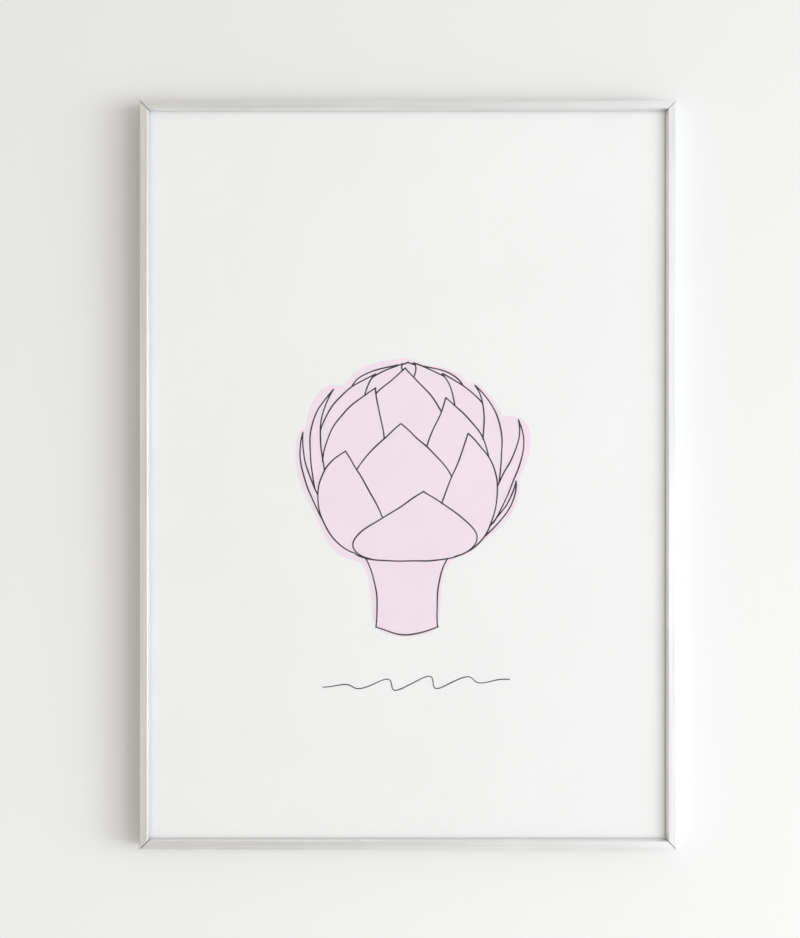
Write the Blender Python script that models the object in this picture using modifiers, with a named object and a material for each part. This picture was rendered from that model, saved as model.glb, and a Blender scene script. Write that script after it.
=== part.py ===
"""Framed art print, 500 x 700 mm, in a slim sectional aluminium picture frame.

Four mitred lengths of one extrusion are held square by angle plates and set screws in a channel at
the back. The glass, the print and a fibreboard back lie in the rebate behind the extrusion's nose,
pressed forward by bowed spring clips. Two slotted hangers in the top channel take wall hooks, and
two bumpers on the bottom rail keep the frame off the wall.

Metres, +Z up. The picture faces -Y and the wall is at +Y. The origin is the centre of the bounding
box.
"""

import math

import bmesh
import bpy
from mathutils import Matrix, Vector

# Overall sizes
SHEET_WIDTH = 0.500
SHEET_HEIGHT = 0.700
FRAME_WIDTH = 0.506
FRAME_HEIGHT = 0.706
FRAME_DEPTH = 0.022
STAND_OFF = 0.0023  # from the frame's back to the wall
GAP = 0.0003  # kept between neighbouring pieces

# The extrusion's section. "In" is measured inward from the outer edge, "up" forward from the back.
OUTER_WALL = 0.0014
WEB = 0.0012
FACE_WIDTH = 0.0074
NOSE_WIDTH = 0.009  # at the glass: the nose's inner side slopes in from the face
NOSE_DEPTH = 0.0036
NOSE_LAND = 0.0006
NOSE_SKIN = 0.0011
CHANNEL_WIDTH = 0.0088
CHANNEL_DEPTH = 0.0044
OUTER_LIP = 0.0018
INNER_LIP = 0.0018
EDGE_ROUNDING = 0.00035

CHANNEL_IN = OUTER_WALL + CHANNEL_WIDTH
CHANNEL_FLOOR = WEB + CHANNEL_DEPTH
FLOOR_FRONT = CHANNEL_FLOOR + WEB
NOSE_BACK = FRAME_DEPTH - NOSE_DEPTH
SLOT_START = OUTER_WALL + OUTER_LIP
SLOT_END = CHANNEL_IN - INNER_LIP
CHANNEL_CENTRE = OUTER_WALL + CHANNEL_WIDTH / 2

# The stack in the rebate, from the nose backward
GLASS_THICKNESS = 0.002
PAPER_THICKNESS = 0.0003
BOARD_THICKNESS = 0.003
GLASS_BACK = NOSE_BACK - GAP - GLASS_THICKNESS
PAPER_BACK = GLASS_BACK - GAP - PAPER_THICKNESS
BOARD_BACK = PAPER_BACK - GAP - BOARD_THICKNESS

# Corner hardware
ANGLE_LEG = 0.040
ANGLE_WIDTH = CHANNEL_WIDTH - 2 * GAP
ANGLE_CORNER = 0.0008
TAPPED_THICKNESS = 0.0018
PLAIN_THICKNESS = 0.0012
SCREW_RADIUS = 0.0018
SCREW_LENGTH = 0.0032
SCREW_FROM_CORNER = 0.028
SCREW_SLOT_WIDTH = 0.0006
SCREW_SLOT_DEPTH = 0.0009
ROUND_SIDES = 24

# Spring clips
CLIP_LENGTH = 0.048
CLIP_WIDTH = 0.014
CLIP_THICKNESS = 0.0005
CLIP_CORNER = 0.002
CLIP_OUTER_EDGE = 0.0032
CLIP_STATIONS = 16
CLIPS_ON_LONG_SIDE = (-0.210, 0.0, 0.210)
CLIPS_ON_SHORT_SIDE = (-0.120, 0.120)

# Hangers
HANGER_THICKNESS = 0.0012
HANGER_WIDTH = 0.030
HANGER_REACH = 0.0235
HANGER_CORNER = 0.0025
HANGER_TONGUE_WIDTH = 0.024
HANGER_FROM_CENTRE = 0.165
WINDOW_WIDTH = 0.014
WINDOW_START = 0.0125
WINDOW_HEIGHT = 0.0075
TOOTH_COUNT = 7
TOOTH_DEPTH = 0.0009

# Bumpers
BUMPER_RADIUS = 0.005
BUMPER_THICKNESS = STAND_OFF - GAP
BUMPER_ROUNDING = 0.0007
BUMPER_FROM_CORNER = 0.045

BACK_Y = (FRAME_DEPTH + STAND_OFF) / 2 - STAND_OFF
HALF_WIDTH = FRAME_WIDTH / 2
HALF_HEIGHT = FRAME_HEIGHT / 2

# A side's or corner's own axes: X along the bottom rail, Y inward, Z forward. Each next side,
# going round from the bottom through the right, is a quarter turn further.
FACING_FRONT = Matrix.Rotation(math.pi / 2, 4, "X")


# ---------------------------------------------------------------- scene and materials


def clear_scene():
    for old in list(bpy.data.objects):
        bpy.data.objects.remove(old, do_unlink=True)
    for old in list(bpy.data.collections):
        bpy.data.collections.remove(old)


def make_collection(name):
    collection = bpy.data.collections.new(name)
    bpy.context.scene.collection.children.link(collection)
    return collection


def make_material(name, colour, roughness, metallic=0.0, alpha=1.0):
    material = bpy.data.materials.new(name)
    material.use_nodes = True
    material.diffuse_color = (*colour, alpha)
    shader = material.node_tree.nodes["Principled BSDF"]
    shader.inputs["Base Color"].default_value = (*colour, 1.0)
    shader.inputs["Roughness"].default_value = roughness
    shader.inputs["Metallic"].default_value = metallic
    shader.inputs["Alpha"].default_value = alpha
    return material


def add_piece(name, mesh, material, parent=None, location=(0, 0, 0), turn=0.0):
    """One sub-part, placed in its parent's axes and turned about its own Z."""
    piece = bpy.data.objects.new(name, mesh)
    PARTS.objects.link(piece)
    if not mesh.materials:
        mesh.materials.append(material)
    piece.parent = parent
    piece.location = location
    piece.rotation_euler = (0, 0, turn)
    return piece


def add_guide(name, quarter, x, z):
    """An empty whose X runs along a side, Y inward and Z forward, at the frame's back."""
    guide = bpy.data.objects.new(name, None)
    GUIDES.objects.link(guide)
    guide.empty_display_size = 0.03
    turned = Matrix.Rotation(-quarter * math.pi / 2, 4, "Y")
    guide.matrix_world = Matrix.Translation((x, BACK_Y, z)) @ turned @ FACING_FRONT
    return guide


# ---------------------------------------------------------------- mesh tools


def finished_mesh(pattern, cutters=()):
    """The pattern object's mesh with its modifiers applied. The pattern and its cutters go."""
    bpy.context.view_layer.update()
    graph = bpy.context.evaluated_depsgraph_get()
    mesh = bpy.data.meshes.new_from_object(pattern.evaluated_get(graph))
    mesh.name = pattern.name
    mesh.transform(pattern.matrix_world)
    for done in (pattern, *cutters):
        bpy.data.objects.remove(done, do_unlink=True)
    return mesh


def outline_mesh(name, outlines, thickness):
    """A flat plate in XY, centred on Z = 0. The outlines inside the first one are holes."""
    curve = bpy.data.curves.new(name, "CURVE")
    curve.dimensions = "2D"
    curve.fill_mode = "BOTH"
    curve.extrude = thickness / 2
    for outline in outlines:
        spline = curve.splines.new("POLY")
        spline.points.add(len(outline) - 1)
        for point, (x, y) in zip(spline.points, outline):
            point.co = (x, y, 0, 1)
        spline.use_cyclic_u = True
    pattern = bpy.data.objects.new(name, curve)
    GUIDES.objects.link(pattern)
    mesh = finished_mesh(pattern)
    bpy.data.curves.remove(curve)
    welded = bmesh.new()
    welded.from_mesh(mesh)
    bmesh.ops.remove_doubles(welded, verts=welded.verts, dist=1e-6)
    bmesh.ops.dissolve_limit(
        welded, angle_limit=0.001, verts=welded.verts, edges=welded.edges
    )
    bmesh.ops.recalc_face_normals(welded, faces=welded.faces)
    welded.to_mesh(mesh)
    welded.free()
    return mesh


def pattern_object(name, mesh):
    pattern = bpy.data.objects.new(name, mesh)
    GUIDES.objects.link(pattern)
    return pattern


def box_pattern(name, size, centre):
    bpy.ops.mesh.primitive_cube_add(size=1, location=centre)
    box = bpy.context.object
    box.name = name
    box.data.transform(Matrix.Diagonal((*size, 1)))
    for collection in list(box.users_collection):
        collection.objects.unlink(box)
    GUIDES.objects.link(box)
    return box


def bevel(piece, width, segments=2):
    rounding = piece.modifiers.new("rounding", "BEVEL")
    rounding.width = width
    rounding.segments = segments
    rounding.limit_method = "ANGLE"
    rounding.angle_limit = math.radians(30)


def cut(piece, cutter, operation="DIFFERENCE"):
    boolean = piece.modifiers.new(operation.lower(), "BOOLEAN")
    boolean.operation = operation
    boolean.object = cutter
    cutter.hide_render = True
    cutter.display_type = "WIRE"


def arc(cx, cy, radius, start, end, steps):
    """Points on an arc, in degrees, both ends included."""
    angles = [math.radians(start + (end - start) * i / steps) for i in range(steps + 1)]
    return [(cx + radius * math.cos(a), cy + radius * math.sin(a)) for a in angles]


def circle(cx, cy, radius, sides=ROUND_SIDES):
    return arc(cx, cy, radius, 0, 360, sides)[:-1]


def rounded_rectangle(x0, x1, y0, y1, radius, steps=4):
    return (
        arc(x1 - radius, y1 - radius, radius, 0, 90, steps)
        + arc(x0 + radius, y1 - radius, radius, 90, 180, steps)
        + arc(x0 + radius, y0 + radius, radius, 180, 270, steps)
        + arc(x1 - radius, y0 + radius, radius, 270, 360, steps)
    )


# ---------------------------------------------------------------- the extrusion


def section_outline():
    """The extrusion's outline as (in, up) points, from the outer back corner."""
    return [
        (0, 0),
        (SLOT_START, 0),
        (SLOT_START, WEB),
        (OUTER_WALL, WEB),
        (OUTER_WALL, CHANNEL_FLOOR),
        (CHANNEL_IN, CHANNEL_FLOOR),
        (CHANNEL_IN, WEB),
        (SLOT_END, WEB),
        (SLOT_END, 0),
        (CHANNEL_IN + WEB, 0),
        (CHANNEL_IN + WEB, FLOOR_FRONT),
        (OUTER_WALL, FLOOR_FRONT),
        (OUTER_WALL, NOSE_BACK),
        (NOSE_WIDTH, NOSE_BACK),
        (NOSE_WIDTH, NOSE_BACK + NOSE_LAND),
        (FACE_WIDTH, FRAME_DEPTH),
        (0, FRAME_DEPTH),
    ]


def nose_chamber():
    """The hollow that runs through the nose, open at both mitres."""
    near, far = OUTER_WALL, FACE_WIDTH - NOSE_SKIN
    low, high = NOSE_BACK + NOSE_SKIN, FRAME_DEPTH - NOSE_SKIN
    return [(near, low), (far, low), (far, high), (near, high)]


def rail_mesh(name, half_length):
    """A length of the extrusion along X, mitred at both ends towards +Y."""
    mesh = outline_mesh(name, [section_outline(), nose_chamber()], 2 * half_length)
    section_upright = Matrix(((0, 0, 1, 0), (1, 0, 0, 0), (0, 1, 0, 0), (0, 0, 0, 1)))
    mesh.transform(section_upright)
    for vertex in mesh.vertices:
        reach = half_length - vertex.co.y - GAP / math.sqrt(2)
        vertex.co.x = math.copysign(reach, vertex.co.x)
    return mesh


def make_rails(sides, aluminium):
    long_rail = rail_mesh("long_rail", HALF_HEIGHT)
    short_rail = rail_mesh("short_rail", HALF_WIDTH)
    for side, guide in sides.items():
        mesh = long_rail if side in ("left", "right") else short_rail
        rail = add_piece(f"rail_{side}", mesh, aluminium, guide)
        bevel(rail, EDGE_ROUNDING)


# ---------------------------------------------------------------- the stack in the rebate


def make_sheet(name, material, back, thickness, rounding=0.0):
    """A full-size sheet whose back face is at that height above the frame's back."""
    centre_y = BACK_Y - back - thickness / 2
    box = box_pattern(name, (SHEET_WIDTH, thickness, SHEET_HEIGHT), (0, 0, 0))
    sheet = add_piece(name, finished_mesh(box), material, None, (0, centre_y, 0))
    if rounding:
        bevel(sheet, rounding)


def make_stack(glass, paper, fibreboard):
    make_sheet("glazing", glass, GLASS_BACK, GLASS_THICKNESS, 0.0003)
    make_sheet("print", paper, PAPER_BACK, PAPER_THICKNESS)
    make_sheet("backing_board", fibreboard, BOARD_BACK, BOARD_THICKNESS, 0.0003)


# ---------------------------------------------------------------- corner hardware


def angle_mesh(name, thickness, hole_radius=0.0):
    """An L plate with equal legs along +X and +Y, its outer corner in the channels' corner."""
    near = OUTER_WALL + GAP
    far = near + ANGLE_WIDTH
    r = ANGLE_CORNER
    outline = (
        arc(near + r, near + r, r, 180, 270, 3)
        + arc(ANGLE_LEG - r, near + r, r, 270, 360, 3)
        + arc(ANGLE_LEG - r, far - r, r, 0, 90, 3)
        + arc(far + r, far + r, r, 270, 180, 3)
        + arc(far - r, ANGLE_LEG - r, r, 0, 90, 3)
        + arc(near + r, ANGLE_LEG - r, r, 90, 180, 3)
    )
    holes = []
    if hole_radius:
        holes.append(circle(SCREW_FROM_CORNER, CHANNEL_CENTRE, hole_radius))
        holes.append(circle(CHANNEL_CENTRE, SCREW_FROM_CORNER, hole_radius))
    return outline_mesh(name, [outline, *holes], thickness)


def set_screw_mesh():
    """A slotted set screw along Z, with its slot at the back."""
    bpy.ops.mesh.primitive_cylinder_add(
        vertices=ROUND_SIDES, radius=SCREW_RADIUS, depth=SCREW_LENGTH
    )
    screw = bpy.context.object
    screw.name = "set_screw"
    slot_size = (4 * SCREW_RADIUS, SCREW_SLOT_WIDTH, 2 * SCREW_SLOT_DEPTH)
    slot = box_pattern("screw_slot", slot_size, (0, 0, -SCREW_LENGTH / 2))
    bevel(screw, 0.0002, 1)
    cut(screw, slot)
    return finished_mesh(screw, [slot])


def make_corners(corners, zinc):
    """In each corner a plain angle against the channel's floor, a tapped one against its lips, and two
    set screws that press them apart."""
    plain = angle_mesh("plain_angle", PLAIN_THICKNESS)
    tapped = angle_mesh("tapped_angle", TAPPED_THICKNESS, SCREW_RADIUS + GAP)
    screw = set_screw_mesh()
    plain_height = CHANNEL_FLOOR - GAP - PLAIN_THICKNESS / 2
    tapped_height = WEB + GAP + TAPPED_THICKNESS / 2
    screw_height = CHANNEL_FLOOR - PLAIN_THICKNESS - 2 * GAP - SCREW_LENGTH / 2
    near, far = CHANNEL_CENTRE, SCREW_FROM_CORNER
    for number, (corner, guide) in enumerate(corners.items()):
        add_piece(f"plain_angle_{corner}", plain, zinc, guide, (0, 0, plain_height))
        add_piece(f"tapped_angle_{corner}", tapped, zinc, guide, (0, 0, tapped_height))
        turn = math.radians(25 + 50 * number)
        first = (far, near, screw_height)
        second = (near, far, screw_height)
        add_piece(f"set_screw_{corner}_a", screw, zinc, guide, first, turn)
        add_piece(f"set_screw_{corner}_b", screw, zinc, guide, second, -turn)


# ---------------------------------------------------------------- spring clips


def clip_mesh():
    """A bowed strip along X: its crown bears on the channel's floor and its feet on the board."""
    half = CLIP_LENGTH / 2
    plan = rounded_rectangle(-half, half, 0, CLIP_WIDTH, CLIP_CORNER)
    mesh = outline_mesh("spring_clip", [plan], CLIP_THICKNESS)
    strip = bmesh.new()
    strip.from_mesh(mesh)
    for i in range(1, CLIP_STATIONS):
        station = Vector((CLIP_LENGTH * (i / CLIP_STATIONS - 0.5), 0, 0))
        geometry = strip.verts[:] + strip.edges[:] + strip.faces[:]
        bmesh.ops.bisect_plane(strip, geom=geometry, plane_co=station, plane_no=(1, 0, 0))
    rise = BOARD_BACK - FLOOR_FRONT - 2 * GAP - CLIP_THICKNESS
    for vertex in strip.verts:
        bow = (1 - math.cos(math.pi * vertex.co.x / half)) / 2
        vertex.co.z += rise * bow
    strip.to_mesh(mesh)
    strip.free()
    return mesh


def make_clips(sides, spring_steel):
    mesh = clip_mesh()
    height = FLOOR_FRONT + GAP + CLIP_THICKNESS / 2
    for side, guide in sides.items():
        long_side = side in ("left", "right")
        places = CLIPS_ON_LONG_SIDE if long_side else CLIPS_ON_SHORT_SIDE
        for number, along in enumerate(places, 1):
            name = f"spring_clip_{side}_{number}"
            place = (along, CLIP_OUTER_EDGE, height)
            add_piece(name, mesh, spring_steel, guide, place)


# ---------------------------------------------------------------- hangers


def hanger_window():
    """A slot for the hook. The edge nearer the rail is toothed, so that the hook can't wander."""
    half = WINDOW_WIDTH / 2
    pitch = WINDOW_WIDTH / TOOTH_COUNT
    far = WINDOW_START + WINDOW_HEIGHT
    points = [(half, WINDOW_START), (half, far), (-half, far), (-half, WINDOW_START)]
    for i in range(TOOTH_COUNT):
        start = -half + i * pitch
        if i:
            points.append((start, WINDOW_START))
        points.append((start + pitch / 2, WINDOW_START + TOOTH_DEPTH))
    return points


def hanger_mesh():
    """A plate behind the rail, a neck through the slot and a tongue inside the channel."""
    half = HANGER_WIDTH / 2
    slot_near, slot_far = SLOT_START + GAP, SLOT_END - GAP
    tongue_near, tongue_far = OUTER_WALL + GAP, CHANNEL_IN - GAP
    tongue_top = WEB + GAP + HANGER_THICKNESS
    plate_outline = rounded_rectangle(-half, half, slot_near, HANGER_REACH, HANGER_CORNER)
    plate = outline_mesh("hanger", [plate_outline, hanger_window()], HANGER_THICKNESS)
    plate.transform(Matrix.Translation((0, 0, -GAP - HANGER_THICKNESS / 2)))
    hanger = pattern_object("hanger", plate)
    neck_low = -GAP - HANGER_THICKNESS / 2
    neck_high = tongue_top - HANGER_THICKNESS / 2
    neck = box_pattern(
        "neck",
        (HANGER_TONGUE_WIDTH, slot_far - slot_near, neck_high - neck_low),
        (0, (slot_near + slot_far) / 2, (neck_low + neck_high) / 2),
    )
    tongue = box_pattern(
        "tongue",
        (HANGER_TONGUE_WIDTH, tongue_far - tongue_near, HANGER_THICKNESS),
        (0, (tongue_near + tongue_far) / 2, tongue_top - HANGER_THICKNESS / 2),
    )
    cut(hanger, neck, "UNION")
    cut(hanger, tongue, "UNION")
    return finished_mesh(hanger, [neck, tongue])


def make_hangers(top, zinc):
    mesh = hanger_mesh()
    for side, along in (("left", HANGER_FROM_CENTRE), ("right", -HANGER_FROM_CENTRE)):
        add_piece(f"hanger_{side}", mesh, zinc, top, (along, 0, 0))


# ---------------------------------------------------------------- bumpers


def bumper_mesh():
    """A round pad turned about Z, flat at the front and rounded at its back rim."""
    r, high, low = BUMPER_RADIUS, BUMPER_THICKNESS / 2, -BUMPER_THICKNESS / 2
    rim = arc(r - BUMPER_ROUNDING, low + BUMPER_ROUNDING, BUMPER_ROUNDING, 0, -90, 4)
    profile = [(0, high), (r, high), *rim, (0, low)]
    mesh = bpy.data.meshes.new("wall_bumper")
    points = [(x, 0, z) for x, z in profile]
    mesh.from_pydata(points, [(i, i + 1) for i in range(len(points) - 1)], [])
    bumper = pattern_object("wall_bumper", mesh)
    turned = bumper.modifiers.new("turned", "SCREW")
    turned.steps = ROUND_SIDES
    turned.render_steps = ROUND_SIDES
    turned.use_merge_vertices = True
    turned.merge_threshold = 0.00001
    turned.use_normal_calculate = True
    return finished_mesh(bumper)


def make_bumpers(bottom, rubber):
    mesh = bumper_mesh()
    height = -GAP - BUMPER_THICKNESS / 2
    reach = HALF_WIDTH - BUMPER_FROM_CORNER
    for side, along in (("left", -reach), ("right", reach)):
        place = (along, CHANNEL_CENTRE, height)
        add_piece(f"wall_bumper_{side}", mesh, rubber, bottom, place)


# ---------------------------------------------------------------- assembly


def main():
    aluminium = make_material("anodised_aluminium", (0.78, 0.78, 0.77), 0.32, 1.0)
    glass = make_material("float_glass", (0.90, 0.95, 0.93), 0.03, 0.0, 0.2)
    paper = make_material("art_paper", (0.88, 0.87, 0.86), 0.85)
    fibreboard = make_material("fibreboard", (0.42, 0.28, 0.17), 0.8)
    zinc = make_material("zinc_plated_steel", (0.62, 0.63, 0.65), 0.35, 1.0)
    spring_steel = make_material("spring_steel", (0.38, 0.38, 0.40), 0.3, 1.0)
    rubber = make_material("bumper_rubber", (0.75, 0.75, 0.73), 0.5)

    sides = {
        "bottom": add_guide("side_bottom", 0, 0, -HALF_HEIGHT),
        "right": add_guide("side_right", 1, HALF_WIDTH, 0),
        "top": add_guide("side_top", 2, 0, HALF_HEIGHT),
        "left": add_guide("side_left", 3, -HALF_WIDTH, 0),
    }
    corners = {
        "bottom_left": add_guide("corner_bottom_left", 0, -HALF_WIDTH, -HALF_HEIGHT),
        "bottom_right": add_guide("corner_bottom_right", 1, HALF_WIDTH, -HALF_HEIGHT),
        "top_right": add_guide("corner_top_right", 2, HALF_WIDTH, HALF_HEIGHT),
        "top_left": add_guide("corner_top_left", 3, -HALF_WIDTH, HALF_HEIGHT),
    }
    make_rails(sides, aluminium)
    make_stack(glass, paper, fibreboard)
    make_corners(corners, zinc)
    make_clips(sides, spring_steel)
    make_hangers(sides["top"], zinc)
    make_bumpers(sides["bottom"], rubber)


clear_scene()
PARTS = make_collection("framed_print")
GUIDES = make_collection("guides")
main()
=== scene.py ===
"""Looks for a framed print: a generic artichoke drawn in ink line over a pale pink wash, behind
glass in a slim satin aluminium frame.

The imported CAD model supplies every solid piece. This script adds what is printed on the sheet,
as thin films of ink and wash on the paper, and gives each piece its procedural material. The
drawing is worked out in millimetres from the middle of the sheet, X to the right and Z up.
"""

import math
import random

import bpy
import numpy as np
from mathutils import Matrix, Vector


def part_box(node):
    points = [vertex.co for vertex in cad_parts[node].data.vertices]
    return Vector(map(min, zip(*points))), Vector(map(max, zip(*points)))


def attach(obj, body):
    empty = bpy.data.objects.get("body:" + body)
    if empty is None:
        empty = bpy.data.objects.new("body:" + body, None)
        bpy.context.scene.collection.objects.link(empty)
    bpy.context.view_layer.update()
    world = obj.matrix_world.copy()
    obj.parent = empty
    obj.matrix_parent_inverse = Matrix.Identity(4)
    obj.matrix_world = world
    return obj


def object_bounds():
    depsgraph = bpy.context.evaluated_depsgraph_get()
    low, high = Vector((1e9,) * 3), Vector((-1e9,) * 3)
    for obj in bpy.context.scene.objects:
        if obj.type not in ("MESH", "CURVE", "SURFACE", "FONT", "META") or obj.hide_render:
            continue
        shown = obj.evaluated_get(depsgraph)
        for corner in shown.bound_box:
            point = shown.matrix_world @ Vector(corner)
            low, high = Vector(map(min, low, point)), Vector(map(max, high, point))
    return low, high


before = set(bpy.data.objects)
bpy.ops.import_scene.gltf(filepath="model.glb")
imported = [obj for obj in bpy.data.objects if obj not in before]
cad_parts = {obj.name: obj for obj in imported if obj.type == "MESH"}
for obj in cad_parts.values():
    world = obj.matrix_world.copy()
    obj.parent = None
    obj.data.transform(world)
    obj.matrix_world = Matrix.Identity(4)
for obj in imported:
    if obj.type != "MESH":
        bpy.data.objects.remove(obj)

cad_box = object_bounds()

MM = 0.001

# ---------------------------------------------------------------- places, from the frame

paper_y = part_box("print")[0].y
glass_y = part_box("glazing")[1].y
sheet_low, sheet_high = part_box("print")
sheet_x = (sheet_low.x + sheet_high.x) / 2
sheet_z = (sheet_low.z + sheet_high.z) / 2
air = paper_y - glass_y  # the thin space between the paper and the glass

# painted shade of the gaps along the frame's mitre joints: how far it reaches and how much is fully
# dark
MITRE_SHADE_TO = 0.0007  # from the joint, measured as the difference of the two offsets
MITRE_SHADE_CORE = 0.4  # share of that distance that is fully dark

WASH_FRONT = 0.10  # shares of that space, counted forward from the paper
WASH_THICKNESS = 0.06
INK_FRONT = 0.24
INK_THICKNESS = 0.10

# ---------------------------------------------------------------- the drawing's dimensions, mm

GLOBE_Z = 13.0
GLOBE_RADIUS = 87.0
GLOBE_TOP = 96.0
GLOBE_BOTTOM = 92.0
TOP_SQUARENESS = 0.85
BOTTOM_SQUARENESS = 0.56
BOTTOM_FULLNESS = 0.22
BASE_SPREAD = 0.86  # how much of a bract's width its base takes
BASE_RING_FROM, BASE_RING_TO, BASE_RING_STEP = -81, 75, 3  # degrees of azimuth
TILT = math.radians(9)  # the globe leans back a little, so its rings show as arcs
BASE_LATITUDE = -68

STEM_X = -1.0
STEM_TOP = -68.0
STEM_LENGTH = 76.0
STEM_HALF_WIDTH = 27.3
STEM_FOOT_SPREAD = 2.0
STEM_FLARE = 19.0
STEM_FOOT_SAG = 7.0

INK_WIDTH = 1.35
INK_STEP = 1.0
HAND_WOBBLE = 0.28

FLOURISH_X = 8.0
FLOURISH_Z = -197.0
FLOURISH_HALF = 88.0
FLOURISH_WAVES = 2.25  # on each side of its middle
FLOURISH_SWELL = 6.5
FLOURISH_SLANT = 0.9
FLOURISH_RISE = 3.5
FLOURISH_WIDTH = 1.0

WASH_MARGIN_GLOBE = 5.0
WASH_MARGIN_STEM = 2.0
WASH_SHIFT = -1.0
WASH_MIDDLE_DROP = 10.0

# Bracts, front ones first: azimuth, latitude of the base, latitude of the tip, half width in
# degrees, lean of the tip, flare of the tip in mm, and fullness below the tip
BRACTS = (
    (9, BASE_LATITUDE, -8, 62, 1, 0, 2.4),
    (-54, BASE_LATITUDE, 12, 40, 12, 3, 3.6),
    (53, -66, 22, 34, -10, 2, 3.4),
    (76, -60, -8, 22, 2, 18, 2.6),
    (-78, -56, 18, 22, -4, 17, 2.6),
    (-3, -50, 30, 40, -2, 0, 3.6),
    (-76, -48, 48, 20, 0, 11, 2.6),
    (70, -50, 26, 22, 10, 27, 2.6),
    (-42, -24, 54, 27, 10, 2, 3.8),
    (36, -24, 46, 28, -2, 0, 3.4),
    (70, -20, 52, 20, 2, 9, 2.8),
    (-5, 0, 76, 34, 0, 0, 3.6),
    (-60, 0, 66, 24, 12, 1, 3.0),
    (60, 0, 66, 24, -8, 1, 3.0),
    (-26, 20, 84, 34, 4, 1, 3.2),
    (30, 20, 85, 32, -4, 1, 3.2),
    (0, 50, 88, 74, 0, 1, 2.6),
)


# ---------------------------------------------------------------- drawing: shapes


def on_globe(azimuth, latitude, flare=0.0):
    """The point of the globe at that azimuth and latitude, in degrees, as it is drawn."""
    around, up = math.radians(azimuth), math.radians(latitude)
    squareness = TOP_SQUARENESS if up > 0 else BOTTOM_SQUARENESS
    ring = GLOBE_RADIUS * max(math.cos(up), 0) ** squareness + flare
    rise = math.sin(up)
    fuller = rise * (1 + BOTTOM_FULLNESS * (1 - rise * rise))
    height = GLOBE_TOP * rise if up > 0 else GLOBE_BOTTOM * fuller
    z = GLOBE_Z + height * math.cos(TILT) - ring * math.cos(around) * math.sin(TILT)
    return ring * math.sin(around), z


def bract_sides(azimuth, low, high, half, lean, flare, fullness, steps=60):
    """The left and right edges of a pointed bract, each from its base up to the shared tip."""
    left, right = [], []
    for i in range(steps + 1):
        t = i / steps
        belly = 0.80 + 0.20 * math.sin(math.pi * min(1.0, 0.1 + t))
        width = half * (1 - t**fullness) * belly
        middle = azimuth + lean * t * t
        latitude = low + (high - low) * t
        out = flare * math.sin(math.pi / 2 * t) ** 2.2
        left.append(on_globe(middle - width, latitude, out))
        right.append(on_globe(middle + width, latitude, out))
    return left, right


def bract_outline(left, right, azimuth, low, half):
    """A bract's closed outline, its base drawn along the ring that it grows from."""
    spread = half * BASE_SPREAD
    base = [on_globe(azimuth + spread * (1 - i / 6), low) for i in range(1, 12)]
    return left + right[::-1][1:] + base


def stem_sides():
    """The stem's left side and right side from the top down, and its sagging foot."""
    left, right, steps = [], [], 30
    for i in range(steps + 1):
        t = i / steps
        flare = STEM_FLARE * (1 - t) ** 3.2
        half = STEM_HALF_WIDTH + STEM_FOOT_SPREAD * t**3 + flare
        z = STEM_TOP - STEM_LENGTH * t
        left.append((STEM_X - half, z))
        right.append((STEM_X + half, z))
    (x0, z0), (x1, _) = left[-1], right[-1]
    foot = [
        (x0 + (x1 - x0) * i / steps, z0 - STEM_FOOT_SAG * math.sin(math.pi * i / steps))
        for i in range(steps + 1)
    ]
    return left, right, foot


def base_ring():
    """The line under the globe, where the lowest bracts start."""
    ring = range(BASE_RING_FROM, BASE_RING_TO + 1, BASE_RING_STEP)
    return [on_globe(azimuth, BASE_LATITUDE) for azimuth in ring]


# ---------------------------------------------------------------- drawing: hidden lines


def resample(points, step):
    """The same line with points an even distance apart."""
    line = np.asarray(points, float)
    lengths = np.hypot(*np.diff(line, axis=0).T)
    along = np.concatenate([[0], np.cumsum(lengths)])
    count = max(3, round(along[-1] / step) + 1)
    places = np.linspace(0, along[-1], count)
    return np.stack([np.interp(places, along, line[:, k]) for k in (0, 1)], 1)


def inside(points, outline):
    """Which points lie inside a closed outline, by counting the edges to their right."""
    x, z = points[:, 0], points[:, 1]
    hit = np.zeros(len(points), bool)
    corners = np.asarray(outline)
    for (x0, z0), (x1, z1) in zip(np.roll(corners, 1, axis=0), corners):
        spans = (z1 > z) != (z0 > z)
        if z0 != z1:
            hit ^= spans & (x < (x0 - x1) * (z - z1) / (z0 - z1) + x1)
    return hit


def shown_parts(points, covers):
    """The stretches of a line that no cover hides."""
    line = resample(points, INK_STEP / 2)
    hidden = np.zeros(len(line), bool)
    for cover in covers:
        hidden |= inside(line, cover)
    parts, part = [], []
    for point, is_hidden in zip(line, hidden):
        if not is_hidden:
            part.append(point)
        elif part:
            parts.append(part)
            part = []
    parts.append(part)
    return [np.array(p) for p in parts if len(p) > 5]


def artichoke_lines():
    """The visible ink lines of the globe and of the stem, and all outlines for the wash."""
    outlines, globe = [], []
    for azimuth, low, high, half, lean, flare, fullness in BRACTS:
        left, right = bract_sides(azimuth, low, high, half, lean, flare, fullness)
        for side in (left, right):
            globe += shown_parts(side, outlines)
        outlines.append(bract_outline(left, right, azimuth, low, half))
    globe.append(resample(base_ring(), INK_STEP / 2))
    stem = []
    for side in stem_sides():
        stem += shown_parts(side, outlines)
    return globe, stem, outlines


def flourish_line():
    """A plain tapering pen wave where a caption would be."""
    points = []
    for i in range(181):
        t = i / 90 - 1
        swell = FLOURISH_SWELL * math.cos(math.pi / 2 * t) ** 1.2
        z = swell * math.sin(2 * FLOURISH_WAVES * math.pi * t + 0.6)
        x = FLOURISH_X + FLOURISH_HALF * t + FLOURISH_SLANT * z
        points.append((x, FLOURISH_Z + z + FLOURISH_RISE * t))
    return points


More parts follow.
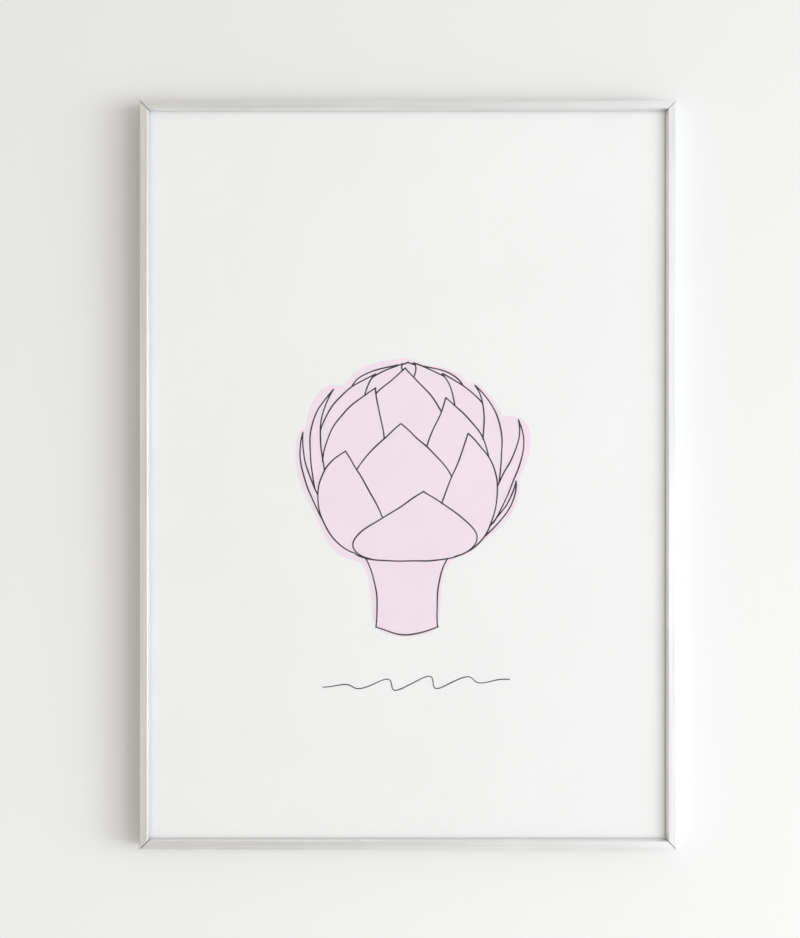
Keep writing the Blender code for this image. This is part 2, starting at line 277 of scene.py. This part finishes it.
def wash_outline(outlines):
    """A soft outline a little outside the whole drawing."""
    lines = [resample(line, 0.5) for line in (*outlines, *stem_sides())]
    points = np.concatenate(lines) - (0, GLOBE_Z)
    angles = np.arctan2(points[:, 1], points[:, 0])
    reach = np.hypot(points[:, 0], points[:, 1])
    turn = 2 * math.pi
    places = np.linspace(-math.pi, math.pi, 480, endpoint=False)
    near = math.radians(0.8)
    outer = np.array([
        reach[np.abs((angles - a + math.pi) % turn - math.pi) < near].max() for a in places
    ])
    for _ in range(4):
        outer = (np.roll(outer, 1) + 2 * outer + np.roll(outer, -1)) / 4
    edge = np.stack([outer * np.cos(places), GLOBE_Z + outer * np.sin(places)], 1)
    along = np.roll(edge, -3, axis=0) - np.roll(edge, 3, axis=0)
    along /= np.linalg.norm(along, axis=1)[:, None]
    outward = np.stack([along[:, 1], -along[:, 0]], 1)
    share = np.clip((edge[:, 1] - STEM_TOP) / 20 + 1, 0, 1)
    margin = WASH_MARGIN_STEM + (WASH_MARGIN_GLOBE - WASH_MARGIN_STEM) * share
    hand = 1 + 0.35 * np.sin(3 * places + 1.0) + 0.22 * np.sin(8 * places)
    edge = edge + outward * (margin * hand)[:, None] + (WASH_SHIFT, 0)
    for _ in range(6):
        edge = (np.roll(edge, 1, axis=0) + 2 * edge + np.roll(edge, -1, axis=0)) / 4
    return edge


# ---------------------------------------------------------------- drawing: meshes


def by_hand(line, chance):
    """The line as a hand draws it: a slow sideways drift of a fraction of a millimetre."""
    along = np.arange(len(line)) * INK_STEP
    drift = np.zeros_like(line)
    for wavelength, size in ((61.0, 1.0), (27.0, 0.45)):
        for axis in (0, 1):
            phase = chance.uniform(0, 2 * math.pi)
            drift[:, axis] += size * np.sin(2 * math.pi * along / wavelength + phase)
    return line + HAND_WOBBLE * drift


def ribbon(line, chance, width):
    """Vertices and faces of one pen line, with round ends."""
    line = by_hand(resample(line, INK_STEP), chance)
    ahead = np.gradient(line, axis=0)
    ahead /= np.linalg.norm(ahead, axis=1)[:, None]
    across = np.stack([-ahead[:, 1], ahead[:, 0]], 1)
    phase = chance.uniform(0, 2 * math.pi)
    pressure = 1 + 0.09 * np.sin(np.arange(len(line)) * 0.11 + phase)
    half = (width / 2 * pressure)[:, None]
    left, right = line + across * half, line - across * half
    verts = np.concatenate([left, right])
    count = len(line)
    faces = [(i, i + 1, count + i + 1, count + i) for i in range(count - 1)]
    for end, way in ((0, -1), (count - 1, 1)):
        first = len(verts)
        angles = np.linspace(-math.pi / 2, math.pi / 2, 7)[1:-1]
        cap = [
            line[end] + half[end] * (way * math.cos(a) * ahead[end] + math.sin(a) * across[end])
            for a in angles
        ]
        verts = np.concatenate([verts, cap])
        rim = [count + end, *range(first, first + len(cap)), end]
        faces.append(tuple(rim if way > 0 else rim[::-1]))
    return verts, faces


def film(name, verts, faces, front, thickness, material):
    """A thin flat film on the paper, riding with the frame. verts are the drawing's points."""
    y = paper_y - air * front
    mesh = bpy.data.meshes.new(name)
    places = [(sheet_x + x * MM, y, sheet_z + z * MM) for x, z in verts]
    mesh.from_pydata(places, [], faces)
    mesh.materials.append(material)
    piece = bpy.data.objects.new(name, mesh)
    bpy.context.scene.collection.objects.link(piece)
    skin = piece.modifiers.new("thickness", "SOLIDIFY")
    skin.thickness = air * thickness
    skin.offset = 0
    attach(piece, "root")
    return piece


def ink_piece(name, lines, material, seed, width=INK_WIDTH):
    chance = random.Random(seed)
    verts, faces = [], []
    for line in lines:
        points, quads = ribbon(line, chance, width)
        faces += [tuple(len(verts) + i for i in face) for face in quads]
        verts += [tuple(p) for p in points]
    return film(name, verts, faces, INK_FRONT, INK_THICKNESS, material)


def wash_piece(outline, material):
    """The wash as rings of faces round its middle."""
    middle = np.array([0.0, GLOBE_Z - WASH_MIDDLE_DROP])
    shares = (0.25, 0.5, 0.75, 1.0)
    verts = [tuple(middle)]
    for share in shares:
        verts += [tuple(middle + share * (p - middle)) for p in outline]
    count = len(outline)
    faces = []
    for i in range(count):
        j = (i + 1) % count
        faces.append((0, 1 + i, 1 + j))
        for ring in range(len(shares) - 1):
            inner, outer = 1 + ring * count, 1 + (ring + 1) * count
            faces.append((inner + i, outer + i, outer + j, inner + j))
    return film("wash", verts, faces, WASH_FRONT, WASH_THICKNESS, material)


# ---------------------------------------------------------------- materials


class Nodes:
    """A material under construction, with short names for the nodes it is made of."""

    def __init__(self, name):
        self.material = bpy.data.materials.new(name)
        self.material.use_nodes = True
        self.tree = self.material.node_tree
        self.tree.nodes.clear()
        self.output = self.add("ShaderNodeOutputMaterial")

    def add(self, kind, **settings):
        node = self.tree.nodes.new(kind)
        for key, value in settings.items():
            setattr(node, key, value)
        return node

    def link(self, source, target):
        self.tree.links.new(source, target)

    def principled(self, colour, roughness, metallic=0.0, specular=0.5):
        shader = self.add("ShaderNodeBsdfPrincipled")
        shader.inputs["Base Color"].default_value = (*colour, 1)
        shader.inputs["Roughness"].default_value = roughness
        shader.inputs["Metallic"].default_value = metallic
        shader.inputs["Specular IOR Level"].default_value = specular
        self.link(shader.outputs[0], self.output.inputs["Surface"])
        return shader

    def noise(self, scale, stretch=(1, 1, 1), detail=3.0, roughness=0.5):
        """Noise over the object, in lumps about 1/scale metres across."""
        place = self.add("ShaderNodeTexCoord")
        mapping = self.add("ShaderNodeMapping")
        mapping.inputs["Scale"].default_value = stretch
        texture = self.add("ShaderNodeTexNoise")
        texture.inputs["Scale"].default_value = scale
        texture.inputs["Detail"].default_value = detail
        texture.inputs["Roughness"].default_value = roughness
        self.link(place.outputs["Object"], mapping.inputs["Vector"])
        self.link(mapping.outputs[0], texture.inputs["Vector"])
        return texture.outputs["Fac"]

    def ramp(self, source, stops):
        """Colours or greys by position along the source's value."""
        ramp = self.add("ShaderNodeValToRGB")
        elements = ramp.color_ramp.elements
        while len(elements) < len(stops):
            elements.new(0.5)
        for element, (position, colour) in zip(elements, stops):
            element.position = position
            element.color = (*colour, 1) if len(colour) == 3 else colour
        self.link(source, ramp.inputs["Fac"])
        return ramp.outputs["Color"]

    def remap(self, source, low, high, from_low=0.3, from_high=0.7):
        node = self.add("ShaderNodeMapRange")
        node.inputs["From Min"].default_value = from_low
        node.inputs["From Max"].default_value = from_high
        node.inputs["To Min"].default_value = low
        node.inputs["To Max"].default_value = high
        self.link(source, node.inputs["Value"])
        return node.outputs[0]

    def blend(self, kind, factor, a, b):
        """Two colours mixed; factor is a number or a socket."""
        node = self.add("ShaderNodeMix", data_type="RGBA", blend_type=kind)
        if isinstance(factor, (int, float)):
            node.inputs["Factor"].default_value = factor
        else:
            self.link(factor, node.inputs["Factor"])
        self.link(a, node.inputs["A"])
        self.link(b, node.inputs["B"])
        return node.outputs["Result"]

    def position(self, axis):
        """One coordinate of the point that is painted, in the object's own space."""
        place = self.add("ShaderNodeTexCoord")
        axes = self.add("ShaderNodeSeparateXYZ")
        self.link(place.outputs["Object"], axes.inputs[0])
        return axes.outputs[axis]

    def math(self, operation, *values):
        """One arithmetic step; each value is a number or a socket."""
        node = self.add("ShaderNodeMath", operation=operation)
        for value, socket in zip(values, node.inputs):
            if isinstance(value, (int, float)):
                socket.default_value = value
            else:
                self.link(value, socket)
        return node.outputs[0]

    def bump(self, shader, layers):
        """Stacked bumps: each layer is a height socket and its depth in metres."""
        normal = None
        for height, depth in layers:
            node = self.add("ShaderNodeBump")
            node.inputs["Strength"].default_value = 1.0
            node.inputs["Distance"].default_value = depth
            self.link(height, node.inputs["Height"])
            if normal is not None:
                self.link(normal, node.inputs["Normal"])
            normal = node.outputs["Normal"]
        self.link(normal, shader.inputs["Normal"])


def grey(value):
    return (value, value, value)


def mitre_painted_shade(n):
    """Painted shade of the gaps at the frame's four mitred joints: 1 on the joints, fading to 0 within
    half a millimetre.
    """
    across = n.math("ABSOLUTE", n.position("X"))
    up = n.math("ABSOLUTE", n.position("Z"))
    apart = n.math("SUBTRACT", up, across)
    away = n.math("ABSOLUTE", n.math("SUBTRACT", apart, cad_box[1].z - cad_box[1].x))
    return n.remap(away, 1.0, 0.0, MITRE_SHADE_TO * MITRE_SHADE_CORE, MITRE_SHADE_TO)


def aluminium(name, stretch):
    """Satin anodised aluminium, with the die's fine lines along the extrusion and painted shade along
    the mitre joints.
    """
    n = Nodes(name)
    shader = n.principled((0.82, 0.82, 0.80), 0.36, 1.0)
    lines = n.noise(2600, stretch, detail=2.0)
    streaks = n.noise(420, stretch, detail=2.0)
    clouds = n.noise(22, detail=3.0)
    base = n.ramp(clouds, [(0.30, (0.87, 0.87, 0.865)), (0.70, (0.92, 0.92, 0.915))])
    streak = n.ramp(streaks, [(0.35, grey(0.93)), (0.65, grey(1.0))])
    body = n.blend("MULTIPLY", 1.0, base, streak)
    # painted shade: the rails' colour darkens to 0.22 along the mitre joints
    joint = n.ramp(mitre_painted_shade(n), [(0.0, grey(1.0)), (1.0, grey(0.22))])
    n.link(n.blend("MULTIPLY", 1.0, body, joint), shader.inputs["Base Color"])
    n.link(n.remap(streaks, 0.34, 0.44), shader.inputs["Roughness"])
    n.bump(shader, [(lines, 0.000004), (streaks, 0.00001)])
    return n.material


def glass():
    """Clear picture glass: it mirrors at its front face and lets the rest through."""
    n = Nodes("picture_glass")
    clear = n.add("ShaderNodeBsdfTransparent")
    clear.inputs["Color"].default_value = (0.994, 0.996, 0.995, 1)
    mirror = n.add("ShaderNodeBsdfGlossy")
    mirror.inputs["Color"].default_value = (1, 1, 1, 1)
    mirror.inputs["Roughness"].default_value = 0.02
    fresnel = n.add("ShaderNodeFresnel")
    fresnel.inputs["IOR"].default_value = 1.5
    geometry = n.add("ShaderNodeNewGeometry")
    front = n.math("SUBTRACT", 1.0, geometry.outputs["Backfacing"])
    mix = n.add("ShaderNodeMixShader")
    n.link(n.math("MULTIPLY", fresnel.outputs[0], front), mix.inputs[0])
    n.link(clear.outputs[0], mix.inputs[1])
    n.link(mirror.outputs[0], mix.inputs[2])
    n.link(mix.outputs[0], n.output.inputs["Surface"])
    return n.material


def paper():
    """Heavy matt art paper: warm white, with a fine tooth and faint clouding."""
    n = Nodes("art_paper")
    shader = n.principled((0.93, 0.93, 0.925), 0.85, specular=0.25)
    clouds = n.noise(9, detail=4.0)
    tooth = n.noise(900, detail=4.0, roughness=0.65)
    fibre = n.noise(260, (1, 1, 2.2), detail=3.0)
    base = n.ramp(clouds, [(0.30, (0.881, 0.878, 0.880)), (0.70, (0.901, 0.897, 0.900))])
    speck = n.ramp(fibre, [(0.30, grey(0.985)), (0.70, grey(1.0))])
    n.link(n.blend("MULTIPLY", 1.0, base, speck), shader.inputs["Base Color"])
    n.bump(shader, [(tooth, 0.00002), (fibre, 0.00002)])
    return n.material


def ink():
    """Soft charcoal pen ink, a little thinner in places."""
    n = Nodes("pen_ink")
    shader = n.principled((0.035, 0.024, 0.030), 0.6, specular=0.25)
    flow = n.noise(160, detail=3.0)
    colour = n.ramp(flow, [(0.35, (0.016, 0.009, 0.011)), (0.68, (0.044, 0.028, 0.032))])
    n.link(colour, shader.inputs["Base Color"])
    tooth = n.noise(900, detail=3.0)
    n.bump(shader, [(tooth, 0.00002)])
    return n.material


def wash():
    """Flat pale pink colour, with the slight clouding of a printed wash."""
    n = Nodes("pink_wash")
    shader = n.principled((0.86, 0.74, 0.81), 0.85, specular=0.25)
    clouds = n.noise(28, detail=4.0)
    colour = n.ramp(clouds, [(0.30, (0.873, 0.740, 0.822)), (0.70, (0.892, 0.763, 0.843))])
    n.link(colour, shader.inputs["Base Color"])
    tooth = n.noise(900, detail=4.0, roughness=0.65)
    n.bump(shader, [(tooth, 0.00002)])
    return n.material


def fibreboard():
    """Raw fibreboard: felted brown fibres, pale flecks and a pressed, dull surface."""
    n = Nodes("fibreboard")
    shader = n.principled((0.33, 0.22, 0.14), 0.82, specular=0.3)
    clouds = n.noise(6, detail=4.0)
    felt = n.noise(170, (1, 1, 1.6), detail=6.0, roughness=0.75)
    fibres = n.noise(700, (1, 1, 0.3), detail=4.0, roughness=0.6)
    flecks = n.noise(520, (0.5, 1, 1), detail=2.0)
    base = n.ramp(clouds, [(0.30, (0.325, 0.220, 0.140)), (0.70, (0.355, 0.245, 0.158))])
    matted = n.ramp(felt, [(0.34, grey(0.66)), (0.50, grey(0.92)), (0.68, grey(1.0))])
    strands = n.ramp(fibres, [(0.32, grey(0.74)), (0.60, grey(1.0))])
    body = n.blend("MULTIPLY", 1.0, n.blend("MULTIPLY", 1.0, base, matted), strands)
    pale = n.ramp(flecks, [(0.63, grey(0.0)), (0.70, grey(0.75))])
    light = n.ramp(flecks, [(0.0, (0.50, 0.39, 0.27)), (1.0, (0.50, 0.39, 0.27))])
    n.link(n.blend("MIX", pale, body, light), shader.inputs["Base Color"])
    n.link(n.remap(felt, 0.74, 0.90), shader.inputs["Roughness"])
    n.bump(shader, [(felt, 0.00010), (fibres, 0.00008)])
    return n.material


def zinc():
    """Bright zinc plating, with faint crystals and handling scuffs."""
    n = Nodes("zinc_plating")
    shader = n.principled((0.62, 0.64, 0.66), 0.32, 1.0)
    place = n.add("ShaderNodeTexCoord")
    crystals = n.add("ShaderNodeTexVoronoi")
    crystals.inputs["Scale"].default_value = 420
    n.link(place.outputs["Object"], crystals.inputs["Vector"])
    spangle = n.ramp(crystals.outputs["Color"], [(0.2, (0.56, 0.58, 0.60)), (0.8, (0.70, 0.72, 0.74))])
    scuffs = n.noise(700, (1, 1, 0.25), detail=4.0)
    n.link(spangle, shader.inputs["Base Color"])
    n.link(n.remap(scuffs, 0.24, 0.42), shader.inputs["Roughness"])
    n.bump(shader, [(scuffs, 0.00002)])
    return n.material


def spring_steel():
    """Dark rolled spring strip with scratches along it."""
    n = Nodes("spring_steel")
    shader = n.principled((0.27, 0.27, 0.29), 0.34, 1.0)
    scratches = n.noise(1300, (0.2, 1, 1), detail=3.0)
    heat = n.noise(60, detail=3.0)
    tone = n.ramp(heat, [(0.30, (0.20, 0.21, 0.24)), (0.70, (0.33, 0.33, 0.34))])
    n.link(tone, shader.inputs["Base Color"])
    n.link(n.remap(scratches, 0.24, 0.45), shader.inputs["Roughness"])
    n.bump(shader, [(scratches, 0.00002)])
    return n.material


def rubber():
    """Soft grey bumper rubber, faintly dusty."""
    n = Nodes("bumper_rubber")
    shader = n.principled((0.50, 0.50, 0.48), 0.55, specular=0.4)
    dust = n.noise(900, detail=4.0)
    tone = n.ramp(dust, [(0.35, (0.44, 0.44, 0.42)), (0.70, (0.56, 0.56, 0.54))])
    n.link(tone, shader.inputs["Base Color"])
    n.link(n.remap(dust, 0.45, 0.68), shader.inputs["Roughness"])
    n.bump(shader, [(dust, 0.00004)])
    return n.material


def dress(node, material):
    """Gives a CAD node its finished material."""
    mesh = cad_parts[node].data
    mesh.materials.clear()
    mesh.materials.append(material)


def dress_cad():
    upright = aluminium("aluminium_upright", (1, 1, 0.012))
    level = aluminium("aluminium_level", (0.012, 1, 1))
    finishes = {
        "rail_left": upright,
        "rail_right": upright,
        "rail_top": level,
        "rail_bottom": level,
        "glazing": glass(),
        "print": paper(),
        "backing_board": fibreboard(),
    }
    groups = {
        "plain_angle": zinc(),
        "spring_clip": spring_steel(),
        "wall_bumper": rubber(),
    }
    groups["tapped_angle"] = groups["set_screw"] = groups["hanger"] = groups["plain_angle"]
    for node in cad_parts:
        kind = next((g for g in groups if node.startswith(g)), None)
        dress(node, groups[kind] if kind else finishes[node])


def make_drawing():
    globe, stem, outlines = artichoke_lines()
    pen = ink()
    wash_piece(wash_outline(outlines), wash())
    ink_piece("ink_globe", globe, pen, seed=3)
    ink_piece("ink_stem", stem, pen, seed=11)
    ink_piece("ink_flourish", [flourish_line()], pen, seed=5, width=FLOURISH_WIDTH)


# ---------------------------------------------------------------- camera, stage and light

VIEW_HEIGHT = 0.884  # what the camera takes in, top to bottom, at the frame's front
CAMERA_DISTANCE = 1.60
CAMERA_X = -0.0075
CAMERA_Z = 0.0056
SENSOR = 36.0

# The room's brightness from the far left (0) to the far right (1), as shares of its strength
ROOM = (
    (0.0, (0.340, 0.310, 0.270)),
    (0.3, (0.545, 0.498, 0.430)),
    (0.5, (0.660, 0.652, 0.638)),
    (0.6, (0.790, 0.800, 0.810)),
    (0.75, (0.835, 0.855, 0.875)),
    (1.0, (0.690, 0.705, 0.725)),
)
ROOM_STRENGTH = 1.06

# The window in two parts: place, size and power. The part nearer the wall is kept out of
# reflections, so that the frame's bright side doesn't burn out.
WINDOW_COLOUR = (0.965, 0.982, 1.008)
WINDOW_FRONT = ((2.72, -2.66, -0.20), (2.8, 2.0), 57)
WINDOW_SIDE = ((4.98, -2.33, -0.36), (2.4, 2.9), 100)

WALL_Y = cad_box[1].y
# painted light on the wall: its colour, not its lighting, is a touch paler low down, where more light
# is painted in
WALL_LIGHT_FADE = 0.5  # the wall is a touch paler this far below the picture's middle than above it
WALL_SHADED_HIGH = (0.798, 0.798, 0.794)
WALL_LIT_LOW = (0.856, 0.856, 0.854)
WALL_SIDE = 9.0
FLOOR_Z = -1.35
FLOOR_SIDE = 40.0
FLOOR_VALUE = 0.74
STUDIO_RADIUS = 14.0
STUDIO_VALUE = 0.80


def make_camera():
    data = bpy.data.cameras.new("camera")
    data.sensor_width = SENSOR
    data.lens = SENSOR * CAMERA_DISTANCE / VIEW_HEIGHT
    camera = bpy.data.objects.new("camera", data)
    bpy.context.scene.collection.objects.link(camera)
    camera.location = (CAMERA_X, cad_box[0].y - CAMERA_DISTANCE, CAMERA_Z)
    camera.rotation_euler = (math.radians(90), 0, 0)
    bpy.context.scene.camera = camera


def stage_piece(name, material):
    """Names the primitive just added, gives it its material and keeps it unseen by the lighting."""
    piece = bpy.context.object
    piece.name = name
    piece.data.materials.append(material)
    piece.visible_diffuse = False
    piece.visible_glossy = False
    piece.visible_transmission = False
    piece.visible_shadow = False
    return piece


def wall_paint():
    """Matt white wall paint with painted light, a touch paler low down, and a faint roller texture. It
    is clear from behind, so that the frame's back can be seen."""
    n = Nodes("wall_paint")
    shader = n.principled((0.85, 0.85, 0.845), 0.9, specular=0.1)
    # painted light: the wall's colour grows paler towards the bottom, standing in for more light
    # falling there
    lit_lower = n.remap(n.position("Y"), 1.0, 0.0, -WALL_LIGHT_FADE, WALL_LIGHT_FADE)
    paint = n.ramp(lit_lower, [(0.0, WALL_SHADED_HIGH), (1.0, WALL_LIT_LOW)])
    n.link(paint, shader.inputs["Base Color"])
    roller = n.noise(260, detail=3.0)
    n.bump(shader, [(roller, 0.00003)])
    clear = n.add("ShaderNodeBsdfTransparent")
    geometry = n.add("ShaderNodeNewGeometry")
    mix = n.add("ShaderNodeMixShader")
    n.link(geometry.outputs["Backfacing"], mix.inputs[0])
    n.link(shader.outputs[0], mix.inputs[1])
    n.link(clear.outputs[0], mix.inputs[2])
    n.link(mix.outputs[0], n.output.inputs["Surface"])
    return n.material


def studio_paper(name, value):
    """Evenly lit pale studio paper."""
    n = Nodes(name)
    glow = n.add("ShaderNodeEmission")
    glow.inputs["Color"].default_value = (value, value, value * 0.99, 1)
    n.link(glow.outputs[0], n.output.inputs["Surface"])
    return n.material


def make_stage():
    """A pale wall that shows only from the front, over a pale floor in a pale studio."""
    bpy.ops.mesh.primitive_plane_add(
        size=WALL_SIDE, location=(0, WALL_Y, 0), rotation=(math.radians(90), 0, 0)
    )
    stage_piece("wall", wall_paint())
    bpy.ops.mesh.primitive_plane_add(size=FLOOR_SIDE, location=(0, 0, FLOOR_Z))
    stage_piece("floor", studio_paper("floor_paper", FLOOR_VALUE))
    bpy.ops.mesh.primitive_uv_sphere_add(segments=48, ring_count=24, radius=STUDIO_RADIUS)
    stage_piece("backdrop", studio_paper("backdrop_paper", STUDIO_VALUE))


def window_light(name, location, size, power, mirrored):
    """A soft rectangle aimed at the picture's middle; mirrored says whether metal shows it."""
    data = bpy.data.lights.new(name, "AREA")
    data.shape = "RECTANGLE"
    data.size, data.size_y = size
    data.energy = power
    data.color = WINDOW_COLOUR
    light = bpy.data.objects.new(name, data)
    bpy.context.scene.collection.objects.link(light)
    light.location = location
    light.rotation_euler = (-Vector(location)).to_track_quat("-Z", "Y").to_euler()
    light.visible_glossy = mirrored


def make_world():
    """A pale room, warm and dim to the left and cooler and brighter to the right."""
    world = bpy.data.worlds.new("studio")
    world.use_nodes = True
    tree = world.node_tree
    background = tree.nodes["Background"]
    place = tree.nodes.new("ShaderNodeTexCoord")
    axes = tree.nodes.new("ShaderNodeSeparateXYZ")
    across = tree.nodes.new("ShaderNodeMapRange")
    across.inputs["From Min"].default_value = -1.0
    across.inputs["From Max"].default_value = 1.0
    room = tree.nodes.new("ShaderNodeValToRGB")
    elements = room.color_ramp.elements
    while len(elements) < len(ROOM):
        elements.new(0.5)
    for element, (position, colour) in zip(elements, ROOM):
        element.position = position
        element.color = (*colour, 1)
    background.inputs["Strength"].default_value = ROOM_STRENGTH
    tree.links.new(place.outputs["Generated"], axes.inputs[0])
    tree.links.new(axes.outputs["X"], across.inputs["Value"])
    tree.links.new(across.outputs[0], room.inputs["Fac"])
    tree.links.new(room.outputs["Color"], background.inputs["Color"])
    bpy.context.scene.world = world


def make_light():
    make_world()
    window_light("window_front", *WINDOW_FRONT, mirrored=True)
    window_light("window_side", *WINDOW_SIDE, mirrored=False)
    bpy.context.scene.view_settings.view_transform = "Standard"


make_camera()
dress_cad()
make_drawing()
make_stage()
make_light()
